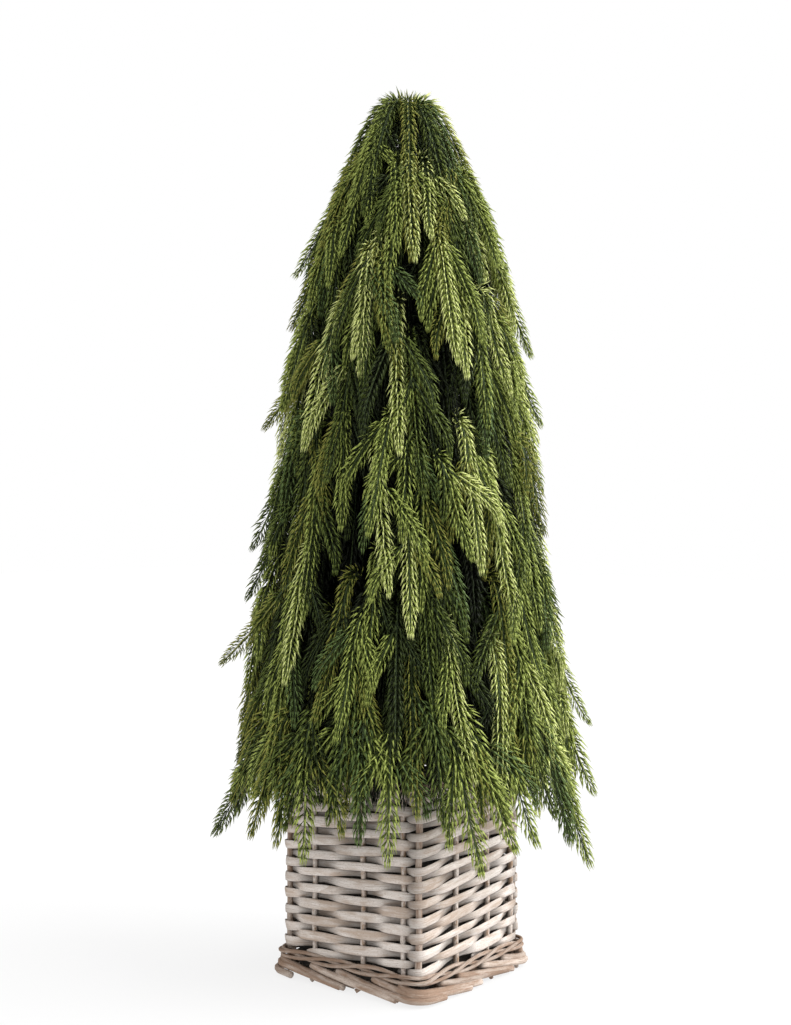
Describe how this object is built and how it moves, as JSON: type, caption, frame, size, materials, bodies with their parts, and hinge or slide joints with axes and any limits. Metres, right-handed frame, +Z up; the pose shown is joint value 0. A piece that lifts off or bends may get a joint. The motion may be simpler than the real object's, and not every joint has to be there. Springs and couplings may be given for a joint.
{
  "type": "artificial weeping cone tree in a square willow basket",
  "caption": "Artificial cone tree of drooping soft-needled pine sprays on a stem, set in foam in a square whitewashed split-willow basket.",
  "frame": {"origin": "centre of the basket's flat underside", "axes": "+Z up along the stem, X and Y along the basket's sides; the basket's front wall faces -Y and its right wall faces +X"},
  "size_m": [0.2678, 0.2654, 0.633],
  "materials": {
    "willow_strip": "matte",
    "willow_rod": "matte",
    "dark_foam": "matte",
    "wrapped_stem": "matte",
    "wrapped_bough": "matte",
    "pine_needles": "satin"
  },
  "bodies": {
    "root": {"basket_floor": "willow_strip", "basket_wall_front": "willow_strip", "basket_wall_right": "willow_strip", "basket_wall_back": "willow_strip", "basket_wall_left": "willow_strip", "basket_post_front": "willow_rod", "basket_post_right": "willow_rod", "basket_post_back": "willow_rod", "basket_post_left": "willow_rod", "basket_foot_front": "willow_rod", "basket_foot_right": "willow_rod", "basket_foot_back": "willow_rod", "basket_foot_left": "willow_rod", "basket_rim_front": "willow_rod", "basket_rim_right": "willow_rod", "basket_rim_back": "willow_rod", "basket_rim_left": "willow_rod", "planter_foam": "dark_foam", "trunk": "wrapped_stem", "bough_upper_1": "wrapped_bough", "bough_upper_2": "wrapped_bough", "bough_upper_3": "wrapped_bough", "bough_upper_4": "wrapped_bough", "bough_middle_1": "wrapped_bough", "bough_middle_2": "wrapped_bough", "bough_middle_3": "wrapped_bough", "bough_middle_4": "wrapped_bough", "bough_middle_5": "wrapped_bough", "bough_lower_1": "wrapped_bough", "bough_lower_2": "wrapped_bough", "bough_lower_3": "wrapped_bough", "bough_lower_4": "wrapped_bough", "bough_lower_5": "wrapped_bough", "bough_skirt_1": "wrapped_bough", "bough_skirt_2": "wrapped_bough", "bough_skirt_3": "wrapped_bough", "bough_skirt_4": "wrapped_bough", "bough_skirt_5": "wrapped_bough", "bough_skirt_6": "wrapped_bough", "crown_tip": "pine_needles", "foliage_upper_1": "pine_needles", "foliage_upper_2": "pine_needles", "foliage_upper_3": "pine_needles", "foliage_upper_4": "pine_needles", "foliage_middle_1": "pine_needles", "foliage_middle_2": "pine_needles", "foliage_middle_3": "pine_needles", "foliage_middle_4": "pine_needles", "foliage_middle_5": "pine_needles", "foliage_lower_1": "pine_needles", "foliage_lower_2": "pine_needles", "foliage_lower_3": "pine_needles", "foliage_lower_4": "pine_needles", "foliage_lower_5": "pine_needles", "foliage_skirt_1": "pine_needles", "foliage_skirt_2": "pine_needles", "foliage_skirt_3": "pine_needles", "foliage_skirt_4": "pine_needles", "foliage_skirt_5": "pine_needles", "foliage_skirt_6": "pine_needles"}
  },
  "joints": []
}
